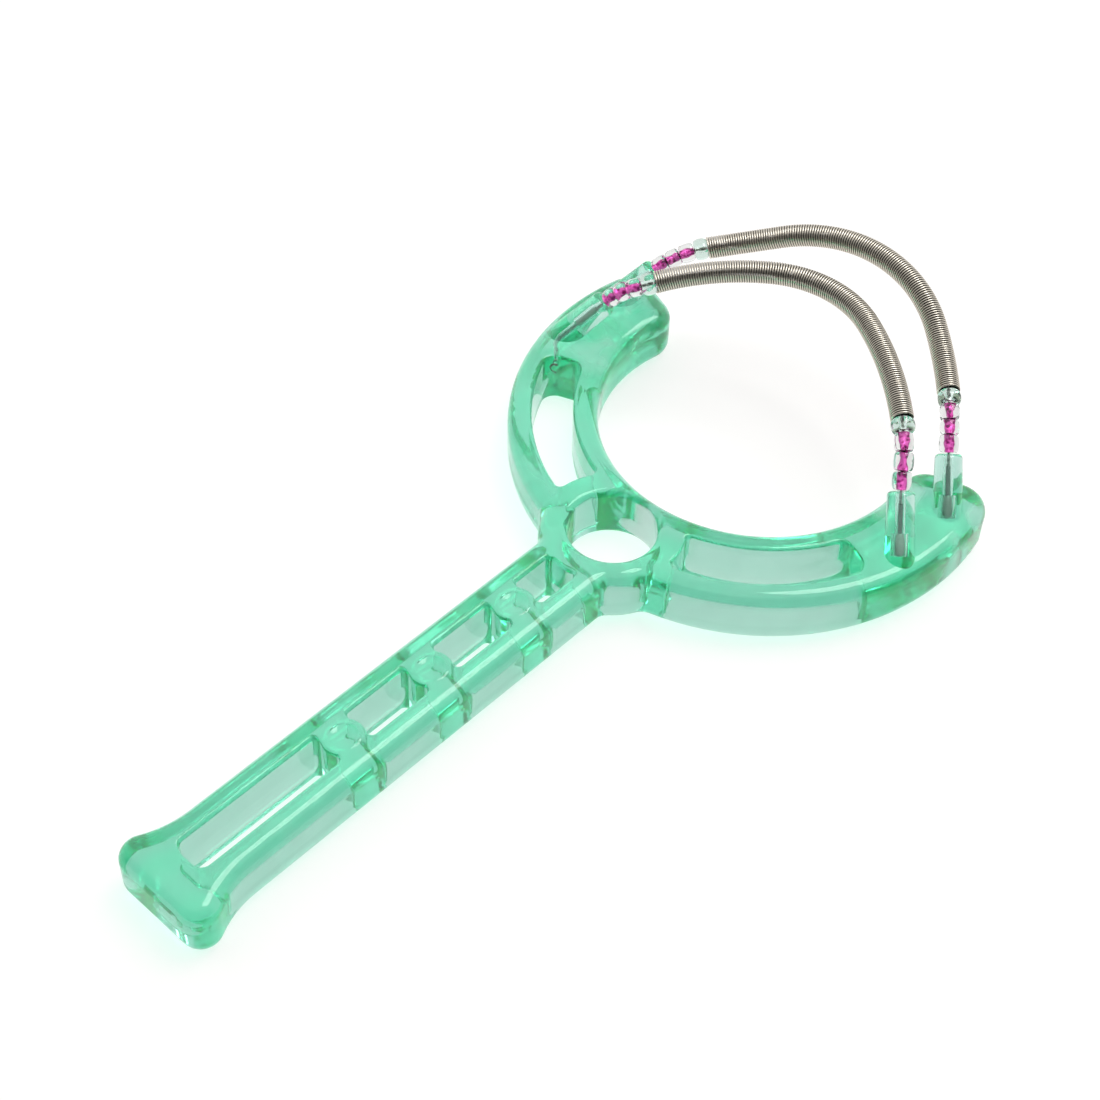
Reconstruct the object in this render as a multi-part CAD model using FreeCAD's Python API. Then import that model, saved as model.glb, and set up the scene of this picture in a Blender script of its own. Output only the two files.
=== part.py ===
import FreeCAD, Part
import math
import os

V = FreeCAD.Vector
os.makedirs("parts", exist_ok=True)

# Origin: centre of the hub hole, half-way up the frame's thickness. +Y runs from the handle to the mouth, +X
# to the right tip, +Z up from the table. Heights below are measured from the underside, and each finished
# piece is moved down by half the thickness. All lengths in millimetres, all angles in degrees.

# moulded frame
thickness = 11.0
edge_round = 3.0
opening_round = 0.8
mouth_radius = 30.0
mouth_back = 10.6
arm_width = 16.3
arm_back = 6.6
arm_angle = 109.0
tip_round_outer = 5.5
tip_round_inner = 5.0
inner_rail = 4.7
outer_rail = 4.5
slot_angle = 67.0
slot_round = 2.6
slot_hub_round = 1.0
hub_radius = 13.2
hole_radius = 8.1
hole_round = 1.4
neck_round = 2.6
handle_half = 7.83
window_half = 3.2
window_end = -97.9
window_round = 1.8
post_radius = 3.9
post_round = 0.9
post_places = (-25.1, -45.0, -64.9)
dimple_radius = 2.5
dimple_depth = 0.4
butt_end = -105.4
butt_round = 3.7
flare_start = -91.4
flare_radius = 18.2

# what follows from these sizes: the mouth and the arms start mouth_back and arm_back in front of and behind
# the hub hole's centre, and the rails are what the slots leave of the arms
mouth_centre = mouth_back + mouth_radius
arm_radius = mouth_radius + arm_width
arm_centre = arm_radius - arm_back
slot_inner_radius = mouth_radius + inner_rail
slot_outer_radius = arm_radius - outer_rail


def at_mouth(x, y, z):
    """A place given from the mouth's right side, the line through its centre and the top face."""
    return V(mouth_radius + x, mouth_centre + y, thickness + z)


def above_mouth(y, z):
    """A place on the middle plane, given from the mouth's centre and the top face."""
    return V(0, mouth_centre + y, thickness + z)


# turrets: the centre of each top face and the direction in which all four lean, given for the right arm
turret_heads = {"near": at_mouth(5.17, -4.39, 7.82), "far": at_mouth(5.24, 9.72, 6.94)}
turret_lean = V(-0.472, 0.491, 0.732)
turret_head_radius = 2.45
turret_heel_radius = 2.8
turret_sunk = 1.3
turret_round = 0.9

# wire, and what is threaded on it; depths and lengths run along the wire
wire_radius = 0.35
bore_clearance = 0.25
seat_gap = 0.03
bead_gap = 0.25
ferrule_top = 2.2
ferrule_length = 5.2
ferrule_fit = 0.03
ferrule_wall = {1: 0.12, -1: 0.22}
ferrule_round = 0.08
ferrule_clearance = 0.15
stop_length = 4.0
stop_fit = 0.02
stop_wall = 0.58
stop_round = 0.5
stop_clearance = 0.15
seed_radius = 1.85
seed_hole = 0.65
seed_round = 1.1
end_bead_radius = 2.2
end_bead_length = 2.3
end_bead_hole = 0.5
end_bead_round = 1.1
tail_exit = at_mouth(6.6, -17.4, -2.4)
tail_heading = V(-0.35, 0.9, 0.25)
tail_clearance = 0.15

# lengths of the seed beads from the turret up to the coil, on the right arm (1) and the left arm (-1)
seed_lengths = {
    "near": {1: (3.1, 3.15, 3.15), -1: (2.3, 2.25, 2.6)},
    "far": {1: (3.0, 2.4, 2.75), -1: (2.75, 2.35, 2.6)},
}

# springs: coil end and heading there for the right arm, top of the arch, and how far the free span has
# settled out of line (turned about the vertical, then about the handle direction, then shifted)
coil_outer = 2.15
coil_wire = 0.45
spans = {
    "near": {
        "end": at_mouth(-1.52, 2.15, 14.09),
        "heading": V(-0.669, 0.703, 0.241),
        "crown": above_mouth(18.9, 17.56),
        "blend": 1.92,
        "bead_blend": {1: 0.4, -1: 1.5},
        "turn": 2.7,
        "roll": 2.3,
        "shift": -0.38,
    },
    "far": {
        "end": at_mouth(-0.9, 16.99, 11.92),
        "heading": V(-0.682, 0.708, 0.181),
        "crown": above_mouth(32.04, 18.74),
        "blend": 0.69,
        "bead_blend": {1: 0.8, -1: 1.7},
        "turn": -0.9,
        "roll": 0.8,
        "shift": 0.13,
    },
}

CLOSE = 1e-6


def unit(v):
    return v * (1.0 / v.Length)


def mirrored(v, side):
    """The vector as given for the right arm, or its mirror image for the left."""
    return V(v.x * side, v.y, v.z)


def settled(v, name, pivot):
    """The point or direction after the free span's small turn, roll and shift."""
    span = spans[name]
    turn = math.radians(span["turn"])
    roll = math.radians(span["roll"])
    p = v - pivot
    p = V(
        p.x * math.cos(turn) - p.y * math.sin(turn),
        p.x * math.sin(turn) + p.y * math.cos(turn),
        p.z,
    )
    p = V(
        p.x * math.cos(roll) - p.z * math.sin(roll),
        p.y,
        p.x * math.sin(roll) + p.z * math.cos(roll),
    )
    return p + pivot


# route: a list of straight and round segments that run into each other without a kink


def straight(start, heading, length):
    return {"start": start, "heading": unit(heading), "length": length, "radius": None}


def bend_to(start, heading, end):
    """The arc that leaves start along heading and reaches end."""
    t = unit(heading)
    chord = end - start
    half = math.acos(max(-1.0, min(1.0, chord.dot(t) / chord.Length)))
    if half < CLOSE:
        return straight(start, t, chord.Length)
    radius = chord.Length / (2 * math.sin(half))
    inward = unit(chord - t * chord.dot(t))
    return {
        "start": start,
        "heading": t,
        "inward": inward,
        "radius": radius,
        "length": 2 * half * radius,
    }


def place_on(segment, s):
    """Point and heading at distance s along one segment."""
    if segment["radius"] is None:
        return segment["start"] + segment["heading"] * s, segment["heading"]
    r = segment["radius"]
    a = s / r
    centre = segment["start"] + segment["inward"] * r
    point = centre - segment["inward"] * (r * math.cos(a)) + segment["heading"] * (r * math.sin(a))
    heading = segment["heading"] * math.cos(a) + segment["inward"] * math.sin(a)
    return point, heading


def two_bends(start, heading, end, end_heading, blend):
    """Two tangent arcs between two placed headings; blend is the ratio of their tangent lengths."""
    t1 = unit(heading)
    t2 = unit(end_heading)
    v = end - start
    a = 2 * blend * (t1.dot(t2) - 1)
    b = -2 * v.dot(t1 * blend + t2)
    c = v.dot(v)
    d2 = (-b - math.sqrt(b * b - 4 * a * c)) / (2 * a)
    d1 = blend * d2
    corner_1 = start + t1 * d1
    corner_2 = end - t2 * d2
    meeting = corner_1 + (corner_2 - corner_1) * (d1 / (d1 + d2))
    first = bend_to(start, t1, meeting)
    second = bend_to(meeting, place_on(first, first["length"])[1], end)
    return [first, second]


def route_length(route):
    return sum(segment["length"] for segment in route)


def place_along(route, s):
    for segment in route:
        if s <= segment["length"]:
            return place_on(segment, s)
        s -= segment["length"]
    last = route[-1]
    return place_on(last, last["length"])


def reversed_route(route):
    """The same route walked from its end to its start."""
    out = []
    for segment in reversed(route):
        end, heading = place_on(segment, segment["length"])
        if segment["radius"] is None:
            out.append(straight(end, heading * -1, segment["length"]))
        else:
            out.append(bend_to(end, heading * -1, segment["start"]))
    return out


def swept(route, radius):
    """A round bar along the route, made of straight and ring-shaped lengths."""
    lengths = []
    for segment in route:
        circle = Part.makeCircle(radius, segment["start"], segment["heading"])
        section = Part.Face(Part.Wire(circle))
        if segment["radius"] is None:
            lengths.append(section.extrude(segment["heading"] * segment["length"]))
        else:
            centre = segment["start"] + segment["inward"] * segment["radius"]
            axis = segment["inward"].cross(segment["heading"]) * -1
            angle = math.degrees(segment["length"] / segment["radius"])
            lengths.append(section.revolve(centre, axis, angle))
    body = lengths[0].fuse(lengths[1:])
    return body.Solids[0]


def turned(profile, point, heading):
    """A closed profile of (radius, height) corners revolved about the local wire, placed on it."""
    solid = profile.revolve(V(0, 0, 0), V(0, 0, 1), 360)
    solid.Placement = FreeCAD.Placement(point, FreeCAD.Rotation(V(0, 0, 1), heading))
    return solid


def rounded_ring_profile(inner, outer, length, rounding):
    """Half section of a bead: straight hole, flat ends, rounded outer shoulders."""
    h = length / 2
    k = rounding * (1 - math.sqrt(0.5))
    low = V(outer - rounding, 0, -h)
    low_mid = V(outer - k, 0, -h + k)
    low_end = V(outer, 0, -h + rounding)
    edges = [
        Part.makeLine(V(inner, 0, -h), low),
        Part.Arc(low, low_mid, low_end).toShape(),
    ]
    if h - rounding > CLOSE:
        edges.append(Part.makeLine(low_end, V(outer, 0, h - rounding)))
    high = V(outer - rounding, 0, h)
    edges.append(Part.Arc(V(outer, 0, h - rounding), V(outer - k, 0, h - k), high).toShape())
    edges.append(Part.makeLine(high, V(inner, 0, h)))
    edges.append(Part.makeLine(V(inner, 0, h), V(inner, 0, -h)))
    return Part.Face(Part.Wire(edges))


# routes of the wires


def turret_depth(name, height):
    """Distance down the turret's axis from its top face to the given height."""
    return (turret_heads[name].z - height) / unit(turret_lean).z


def seed_low(name, side, count):
    """Distance along the wire from the turret's top face to the near end of the seed bead of that count."""
    return sum(seed_lengths[name][side][:count]) + (count + 1) * bead_gap


def threaded_length(name, side):
    """Wire length between a turret's top face and the coil, filled by the beads and their gaps."""
    return seed_low(name, side, len(seed_lengths[name][side])) + end_bead_length + bead_gap


def coil_end(name, side):
    """Coil end point and heading on one side of the settled span, moved up to sit on the end bead."""
    span = spans[name]
    pivot = V(0, span["end"].y, span["end"].z)
    point = settled(mirrored(span["end"], side), name, pivot) + V(span["shift"], 0, 0)
    heading = unit(settled(mirrored(span["heading"], side) + pivot, name, pivot) - pivot)
    head = mirrored(turret_heads[name], side)
    for _ in range(12):
        run = two_bends(head, mirrored(turret_lean, side), point, heading, span["bead_blend"][side])
        point = point + heading * (threaded_length(name, side) - route_length(run))
    return point, heading


def crown(name):
    """Top of the arch and the heading there, from right to left."""
    span = spans[name]
    pivot = V(0, span["end"].y, span["end"].z)
    point = settled(span["crown"], name, pivot) + V(span["shift"], 0, 0)
    heading = settled(V(-1, 0, 0) + pivot, name, pivot) - pivot
    return point, unit(heading)


def bead_run(name, side):
    """From the top face of a turret to the coil end, where the beads are threaded."""
    head = mirrored(turret_heads[name], side)
    point, heading = coil_end(name, side)
    return two_bends(head, mirrored(turret_lean, side), point, heading, spans[name]["bead_blend"][side])


def coil_run(name):
    """From the right coil end over the crown to the left coil end."""
    right, right_heading = coil_end(name, 1)
    left, left_heading = coil_end(name, -1)
    top, top_heading = crown(name)
    blend = spans[name]["blend"]
    first = two_bends(right, right_heading, top, top_heading, blend)
    second = two_bends(left, left_heading, top, top_heading * -1, blend)
    return first + reversed_route(second)


def foot_depth():
    """How far down the turret the wire's foot and its stop reach."""
    return ferrule_top + ferrule_length + 2 * seat_gap + stop_length


def foot_run(name, side):
    """The wire inside one turret, from its foot up to the turret's top face."""
    axis = unit(mirrored(turret_lean, side))
    depth = foot_depth()
    start = mirrored(turret_heads[name], side) - axis * depth
    return [straight(start, axis, depth)]


def tail_run():
    """From the loose end in the left slot up to the foot of the near wire."""
    axis = unit(mirrored(turret_lean, -1))
    foot = mirrored(turret_heads["near"], -1) - axis * foot_depth()
    return two_bends(mirrored(tail_exit, -1), tail_heading, foot, axis, 1.0)


def wire_run(name):
    right = foot_run(name, 1) + bead_run(name, 1)
    left = foot_run(name, -1) + bead_run(name, -1)
    if name == "near":
        left = tail_run() + left
    return right + coil_run(name) + reversed_route(left)


# moulded frame


def sector(centre_y, radius, angle):
    """A round slab about the mouth with everything beyond plus and minus the angle taken away."""
    slab = Part.makeCylinder(radius, thickness, V(0, centre_y, 0))
    far = 3 * radius
    x = far * math.sin(math.radians(angle))
    y = mouth_centre - far * math.cos(math.radians(angle))
    corners = [V(0, mouth_centre, 0), V(x, y, 0), V(x, y + far, 0), V(-x, y + far, 0), V(-x, y, 0)]
    wedge = Part.Face(Part.makePolygon(corners + [corners[0]])).extrude(V(0, 0, thickness))
    return slab.cut(wedge)


def handle_outline():
    """Plan of the handle from the hub to the flared butt, with the butt's corners already round."""
    flare_centre = V(handle_half + flare_radius, flare_start, 0)
    corner_y = butt_end + butt_round
    reach = flare_radius + butt_round
    drop = flare_start - corner_y
    corner = V(flare_centre.x - math.sqrt(reach * reach - drop * drop), corner_y, 0)
    meeting = flare_centre + unit(corner - flare_centre) * flare_radius
    sweep = math.asin(drop / reach)
    flare_mid = flare_centre - V(math.cos(sweep / 2), math.sin(sweep / 2), 0) * flare_radius
    halfway = (sweep - math.pi / 2) / 2
    corner_mid = corner + V(math.cos(halfway), math.sin(halfway), 0) * butt_round
    corner_end = V(corner.x, butt_end, 0)

    def left(v):
        return V(-v.x, v.y, v.z)

    top = V(handle_half, 0, 0)
    start = V(handle_half, flare_start, 0)
    edges = [Part.makeLine(left(top), top), Part.makeLine(top, start)]
    edges.append(Part.Arc(start, flare_mid, meeting).toShape())
    edges.append(Part.Arc(meeting, corner_mid, corner_end).toShape())
    edges.append(Part.makeLine(corner_end, left(corner_end)))
    edges.append(Part.Arc(left(corner_end), left(corner_mid), left(meeting)).toShape())
    edges.append(Part.Arc(left(meeting), left(flare_mid), left(start)).toShape())
    edges.append(Part.makeLine(left(start), left(top)))
    return Part.Face(Part.Wire(edges))


def upright_edges(shape, wanted):
    """Edges that stand straight up and whose plan point passes the test."""
    out = []
    for edge in shape.Edges:
        if not isinstance(edge.Curve, (Part.Line, Part.LineSegment)):
            continue
        a = edge.Vertexes[0].Point
        b = edge.Vertexes[-1].Point
        if math.hypot(a.x - b.x, a.y - b.y) < CLOSE and wanted(a.x, a.y):
            out.append(edge)
    return out


def plate():
    """The frame's plan, the full thickness high, with its corners rounded in plan."""
    ring = sector(arm_centre, arm_radius, arm_angle)
    hub = Part.makeCylinder(hub_radius, thickness)
    handle = handle_outline().extrude(V(0, 0, thickness))
    body = ring.fuse([hub, handle])
    body = body.cut(Part.makeCylinder(mouth_radius, thickness, V(0, mouth_centre, 0))).removeSplitter()
    middle = mouth_radius + arm_width / 2

    def at_tips(outer):
        return upright_edges(
            body, lambda x, y: y > mouth_centre and (math.hypot(x, y - mouth_centre) > middle) == outer
        )

    body = body.makeFillet(tip_round_outer, at_tips(True))
    body = body.makeFillet(tip_round_inner, at_tips(False))
    necks = upright_edges(body, lambda x, y: -16 < y < 4 and math.hypot(x, y) < hub_radius + 0.01)
    return body.makeFillet(neck_round, necks)


def slot():
    """One arm's slot, as the space to take away, on the right."""
    outer = Part.makeCylinder(slot_outer_radius, thickness, V(0, arm_centre, 0))
    body = outer.cut(Part.makeCylinder(slot_inner_radius, thickness, V(0, mouth_centre, 0)))
    far = 80
    x = far * math.sin(math.radians(slot_angle))
    y = mouth_centre - far * math.cos(math.radians(slot_angle))
    middle = V(0, mouth_centre, 0)
    corners = [middle, V(0, -far, 0), V(x, -far, 0), V(x, y, 0), middle]
    keep = Part.Face(Part.makePolygon(corners)).extrude(V(0, 0, thickness))
    body = body.common(keep).cut(Part.makeCylinder(hub_radius, thickness))
    body = max(body.Solids, key=lambda s: s.Volume)
    tip = upright_edges(body, lambda x, y: y > 15)
    body = body.makeFillet(slot_round, tip)
    hub = upright_edges(body, lambda x, y: y < 15 and math.hypot(x, y) < hub_radius + 0.01)
    return body.makeFillet(slot_hub_round, hub)


def windows():
    """The four spaces between the handle's rails, parted by the posts."""
    strip = Part.makeBox(2 * window_half, -window_end, thickness, V(-window_half, window_end, 0))
    strip = strip.makeFillet(window_round, upright_edges(strip, lambda x, y: y < window_end + 1))
    posts = [Part.makeCylinder(post_radius, thickness, V(0, y, 0)) for y in post_places]
    strip = strip.cut([Part.makeCylinder(hub_radius, thickness)] + posts)
    spaces = []
    for space in strip.Solids:
        if space.Volume > 10:
            corners = upright_edges(space, lambda x, y: y > window_end + 3 and abs(x) > window_half - CLOSE)
            spaces.append(space.makeFillet(post_round, corners))
    return spaces


def hub_hole():
    """The hub's round hole with rounded rims, as the space to take away."""
    r = hole_radius
    q = hole_round
    k = q * (1 - math.sqrt(0.5))
    t = thickness
    low = Part.Arc(V(r + q, 0, 0), V(r + k, 0, k), V(r, 0, q)).toShape()
    high = Part.Arc(V(r, 0, t - q), V(r + k, 0, t - k), V(r + q, 0, t)).toShape()
    edges = [Part.makeLine(V(0, 0, -1), V(r + q, 0, -1))]
    edges.append(Part.makeLine(V(r + q, 0, -1), V(r + q, 0, 0)))
    edges.append(low)
    edges.append(Part.makeLine(V(r, 0, q), V(r, 0, t - q)))
    edges.append(high)
    edges.append(Part.makeLine(V(r + q, 0, t), V(r + q, 0, t + 1)))
    edges.append(Part.makeLine(V(r + q, 0, t + 1), V(0, 0, t + 1)))
    edges.append(Part.makeLine(V(0, 0, t + 1), V(0, 0, -1)))
    return Part.Face(Part.Wire(edges)).revolve(V(0, 0, 0), V(0, 0, 1), 360)


def rim_edges(shape, inner):
    """Edges round the top and bottom faces: the outside outline, or the openings."""
    out = []
    for face in shape.Faces:
        normal = face.normalAt(0, 0)
        if abs(abs(normal.z) - 1) > CLOSE:
            continue
        for wire in face.Wires:
            if wire.isSame(face.OuterWire) != inner:
                out.extend(wire.Edges)
    return out


def turret(name, side):
    """One leaning turret with a rounded top and a round heel sunk in the arm."""
    axis = unit(mirrored(turret_lean, side))
    head = mirrored(turret_heads[name], side)
    depth = turret_depth(name, thickness - turret_sunk)
    heel = head - axis * depth
    cone = Part.makeCone(turret_heel_radius, turret_head_radius, depth, heel, axis)
    rim = []
    for edge in cone.Edges:
        if isinstance(edge.Curve, Part.Circle) and abs(edge.Curve.Radius - turret_head_radius) < CLOSE:
            rim.append(edge)
    cone = cone.makeFillet(turret_round, rim)
    return cone.fuse(Part.makeSphere(turret_heel_radius, heel))


def ferrule_radius(side):
    """The right arm's ferrules are slimmer than the left arm's."""
    return wire_radius + ferrule_fit + ferrule_wall[side]


def turret_bore(name, side):
    """The stepped hole that holds wire, ferrule and stop."""
    axis = unit(mirrored(turret_lean, side))
    head = mirrored(turret_heads[name], side)
    ferrule_high = ferrule_top - seat_gap
    ferrule_low = ferrule_top + ferrule_length + seat_gap
    mouth = Part.makeCylinder(wire_radius + bore_clearance, ferrule_high, head - axis * ferrule_high, axis)
    sleeve_radius = ferrule_radius(side) + ferrule_clearance
    sleeve = Part.makeCylinder(sleeve_radius, ferrule_low - ferrule_high, head - axis * ferrule_low, axis)
    bores = [mouth, sleeve]
    if side > 0 or name != "near":
        low = foot_depth() + seat_gap
        room_radius = wire_radius + stop_fit + stop_wall + stop_clearance
        room = Part.makeCylinder(room_radius, low - ferrule_low, head - axis * low, axis)
        bores.append(room)
    return bores


def frame():
    body = plate()
    body = body.makeFillet(edge_round, rim_edges(body, False))
    spaces = windows() + [slot(), slot().mirror(V(0, 0, 0), V(1, 0, 0))]
    for space in spaces:
        body = body.cut(space)
    body = body.makeFillet(opening_round, rim_edges(body, True))
    body = body.cut(hub_hole())
    for y in post_places:
        r = (dimple_radius * dimple_radius + dimple_depth * dimple_depth) / (2 * dimple_depth)
        body = body.cut(Part.makeSphere(r, V(0, y, thickness - dimple_depth + r)))
    for name in turret_heads:
        for side in (1, -1):
            body = body.fuse(turret(name, side))
    for name in turret_heads:
        for side in (1, -1):
            body = body.cut(turret_bore(name, side))
    body = body.cut(swept(tail_run() + foot_run("near", -1), wire_radius + tail_clearance))
    return body.removeSplitter()


# threaded pieces


def ferrule(name, side):
    axis = unit(mirrored(turret_lean, side))
    head = mirrored(turret_heads[name], side)
    point = head - axis * (ferrule_top + ferrule_length / 2)
    inner = wire_radius + ferrule_fit
    ring = rounded_ring_profile(inner, ferrule_radius(side), ferrule_length, ferrule_round)
    return turned(ring, point, axis)


def stop(name, side):
    axis = unit(mirrored(turret_lean, side))
    head = mirrored(turret_heads[name], side)
    point = head - axis * (foot_depth() - stop_length / 2)
    inner = wire_radius + stop_fit
    ring = rounded_ring_profile(inner, inner + stop_wall, stop_length, stop_round)
    return turned(ring, point, axis)


def seed_bead(name, side, count):
    length = seed_lengths[name][side][count]
    ring = rounded_ring_profile(seed_hole, seed_radius, length, seed_round)
    point, heading = place_along(bead_run(name, side), seed_low(name, side, count) + length / 2)
    return turned(ring, point, heading)


def end_bead(name, side):
    low = seed_low(name, side, len(seed_lengths[name][side]))
    ring = rounded_ring_profile(end_bead_hole, end_bead_radius, end_bead_length, end_bead_round)
    point, heading = place_along(bead_run(name, side), low + end_bead_length / 2)
    return turned(ring, point, heading)


def save(name, shape):
    """Move one finished piece from the table up to the hub hole's frame and write it."""
    piece = shape.Solids[0].copy()
    piece.translate(V(0, 0, -thickness / 2))
    print(name, "solids", len(shape.Solids), "volume", round(piece.Volume, 3), "valid", piece.isValid())
    piece.exportStep("parts/" + name + ".step")


save("frame", frame())
for span_name in spans:
    coil = coil_run(span_name)
    save("spring_" + span_name, swept(coil, coil_outer).cut(swept(coil, coil_outer - coil_wire)))
    save("wire_" + span_name, swept(wire_run(span_name), wire_radius))
    for side, hand in ((1, "right"), (-1, "left")):
        label = span_name + "_" + hand
        save("ferrule_" + label, ferrule(span_name, side))
        if label != "near_left":
            save("stop_" + label, stop(span_name, side))
        save("end_bead_" + label, end_bead(span_name, side))
        for count in range(len(seed_lengths[span_name][side])):
            save("seed_bead_" + label + "_" + str(count + 1), seed_bead(span_name, side, count))
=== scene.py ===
import math

import bpy
import numpy as np
from bpy.props import FloatProperty, FloatVectorProperty, IntProperty, PointerProperty
from bpy.types import Operator, Panel, PropertyGroup
from mathutils import Matrix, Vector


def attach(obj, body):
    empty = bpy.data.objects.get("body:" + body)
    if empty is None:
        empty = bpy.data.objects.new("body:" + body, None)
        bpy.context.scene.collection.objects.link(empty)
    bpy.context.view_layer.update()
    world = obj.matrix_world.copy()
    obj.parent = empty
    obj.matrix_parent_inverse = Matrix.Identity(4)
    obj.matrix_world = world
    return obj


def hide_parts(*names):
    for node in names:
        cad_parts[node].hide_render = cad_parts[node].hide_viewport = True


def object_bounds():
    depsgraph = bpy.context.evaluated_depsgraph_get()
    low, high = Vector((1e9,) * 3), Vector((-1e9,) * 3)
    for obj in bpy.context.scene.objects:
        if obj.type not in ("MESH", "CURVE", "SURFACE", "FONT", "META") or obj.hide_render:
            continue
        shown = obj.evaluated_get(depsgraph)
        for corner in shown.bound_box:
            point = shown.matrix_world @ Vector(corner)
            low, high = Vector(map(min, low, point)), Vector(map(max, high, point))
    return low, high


bl_info = {
    "name": "Facial Hair Removal Spring",
    "version": (1, 0, 0),
    "blender": (4, 5, 0),
    "location": "View3D > Sidebar > Spring Tool",
    "description": "Finishes the moulded frame and builds coils, wires and beads around the packed model",
    "category": "Object",
}

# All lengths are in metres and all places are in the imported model's own frame: origin in the middle of the hub
# hole, +Y towards the mouth, +X to the right arm's tip, +Z up.

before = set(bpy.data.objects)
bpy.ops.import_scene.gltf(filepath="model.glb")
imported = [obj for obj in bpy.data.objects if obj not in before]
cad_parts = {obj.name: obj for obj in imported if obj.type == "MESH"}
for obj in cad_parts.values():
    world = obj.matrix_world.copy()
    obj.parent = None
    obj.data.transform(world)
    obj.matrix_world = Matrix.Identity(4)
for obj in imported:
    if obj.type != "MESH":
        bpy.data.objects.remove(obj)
cad_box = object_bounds()
BODY = "root"
RIGHT = 1
LEFT = -1
HANDS = {RIGHT: "right", LEFT: "left"}
TINY = 1e-9

# wire routes, as the model lays them: middle of each right turret's top face, the way all turrets lean, and for
# each free span its right coil end and heading, its crown, and how it has settled out of line
TURRET_HEADS = {"near": (0.03517, 0.03621, 0.01332), "far": (0.03524, 0.05032, 0.01244)}
TURRET_LEAN = (-0.472, 0.491, 0.732)
SPANS = {
    "near": {
        "end": (0.02848, 0.04275, 0.01959),
        "heading": (-0.669, 0.703, 0.241),
        "crown": (0.0, 0.0595, 0.02306),
        "blend": 1.92,
        "bead_blend": {RIGHT: 0.4, LEFT: 1.5},
        "turn": math.radians(2.7),
        "roll": math.radians(2.3),
        "shift": -0.00038,
    },
    "far": {
        "end": (0.0291, 0.05759, 0.01742),
        "heading": (-0.682, 0.708, 0.181),
        "crown": (0.0, 0.07264, 0.02424),
        "blend": 0.69,
        "bead_blend": {RIGHT: 0.8, LEFT: 1.7},
        "turn": math.radians(-0.9),
        "roll": math.radians(0.8),
        "shift": 0.00013,
    },
}

# what is threaded on the wires and holds their feet, as the model has it
BEAD_GAP = 0.00025
BEAD_SWELL = 0.0002
SEED_LENGTHS = {
    "near": {RIGHT: (0.0031, 0.00315, 0.00315), LEFT: (0.0023, 0.00225, 0.0026)},
    "far": {RIGHT: (0.003, 0.0024, 0.00275), LEFT: (0.00275, 0.00235, 0.0026)},
}
SEED_RADIUS = 0.00185
SEED_HOLE = 0.00065
END_BEAD_RADIUS = 0.0022
END_BEAD_LENGTH = 0.0023
END_BEAD_HOLE = 0.0005
SEAT_GAP = 0.00003
FERRULE_TOP = 0.0022
FERRULE_LENGTH = 0.0052
SLEEVE_RADIUS = {RIGHT: 0.00043, LEFT: 0.00058}
STOP_LENGTH = 0.004
STOP_RADIUS = 0.00095
WIRE_RADIUS = 0.00035
COIL_OUTER = 0.00215
COIL_WIRE = 0.00045
TAIL_EXIT = (-0.0366, 0.0232, 0.0031)
TAIL_HEADING = (-0.35, 0.9, 0.25)

# the moulding: its top face, the dimples along the handle, and where the arms' tips begin and are full
TOP_FACE = 0.0055
DIMPLES = (-0.0251, -0.0450, -0.0649)
DIMPLE_RADIUS = 0.0025
TIPS_BEGIN = 0.020
TIPS_FULL = 0.034

# what only this script draws: how far an end bead reaches into its coil, the cosine of the section's angle at which
# a hole's paint begins, the bores of sleeves and stops, the thickness and pitch of a coil's turns as shares of the
# spring wire's width, the turns at a coil's end that get no painted shade, what the painted shade between turns
# leaves of the steel's colour, the faces of a strand along one lay and round it, the curl of the near wire's tail,
# and the refraction of plastic and glass
BEAD_NEST = 0.0002
PAINT_EDGE = -0.25
SLEEVE_BORE = WIRE_RADIUS * 1.03
STOP_BORE = WIRE_RADIUS * 1.04
TURN_WIDTH = 0.94
TURN_PITCH = 1.004
UNSHADED_END_TURNS = 0.8
GROOVE_SHADE = 0.16
STRAND_STEPS = 14
STRAND_SIDES = 8
CURL_LENGTH = 0.005
CURL_RADIUS = 0.0006
CURL_TURNS = 3.2
CLEAR_IOR = 1.5

# the photograph's camera: the point looked at, the direction it looks from, its roll and its distance
LOOK_AT = (-0.01044, -0.00473, -0.0055)
VIEW_AZIMUTH = math.radians(42.14)
VIEW_ELEVATION = math.radians(48.28)
VIEW_ROLL = math.radians(1.84)
VIEW_DISTANCE = 0.39752
PHOTO_FOCAL_PIXELS = 2182.94
PHOTO_PIXELS = 1100
SENSOR_WIDTH = 36.0

# the studio: the lamp, the floor, and the height and soft edge of the tent's open side
LAMP_PLACE = (0.13, 0.46, 0.99)
LAMP_WIDTH = 0.62
FLOOR_HALF = 3.0
FLOOR_GAP = 0.00005
OPEN_SIDE_ELEVATION = math.radians(25)
OPEN_SIDE_BLUR = 0.15


# routes


def unit(v):
    v = np.asarray(v, float)
    return v / np.linalg.norm(v)


def handed(v, side):
    """The place or direction given for the right arm, or its mirror image for the left."""
    return np.array(v, float) * (side, 1, 1)


def settled(v, span, pivot):
    """The place after the span's small turn about the vertical and roll about the handle direction."""
    turn, roll = span["turn"], span["roll"]
    x, y, z = np.asarray(v, float) - pivot
    x, y = x * math.cos(turn) - y * math.sin(turn), x * math.sin(turn) + y * math.cos(turn)
    x, z = x * math.cos(roll) - z * math.sin(roll), x * math.sin(roll) + z * math.cos(roll)
    return pivot + (x, y, z)


def straight(start, heading, length):
    return {"start": start, "heading": unit(heading), "length": length, "radius": None}


def bend_to(start, heading, end):
    """The arc that leaves start along heading and reaches end."""
    t = unit(heading)
    chord = end - start
    reach = np.linalg.norm(chord)
    half = math.acos(min(1.0, chord @ t / reach))
    radius = reach / (2 * math.sin(half))
    inward = unit(chord - t * (chord @ t))
    return {"start": start, "heading": t, "inward": inward, "radius": radius, "length": 2 * half * radius}


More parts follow.
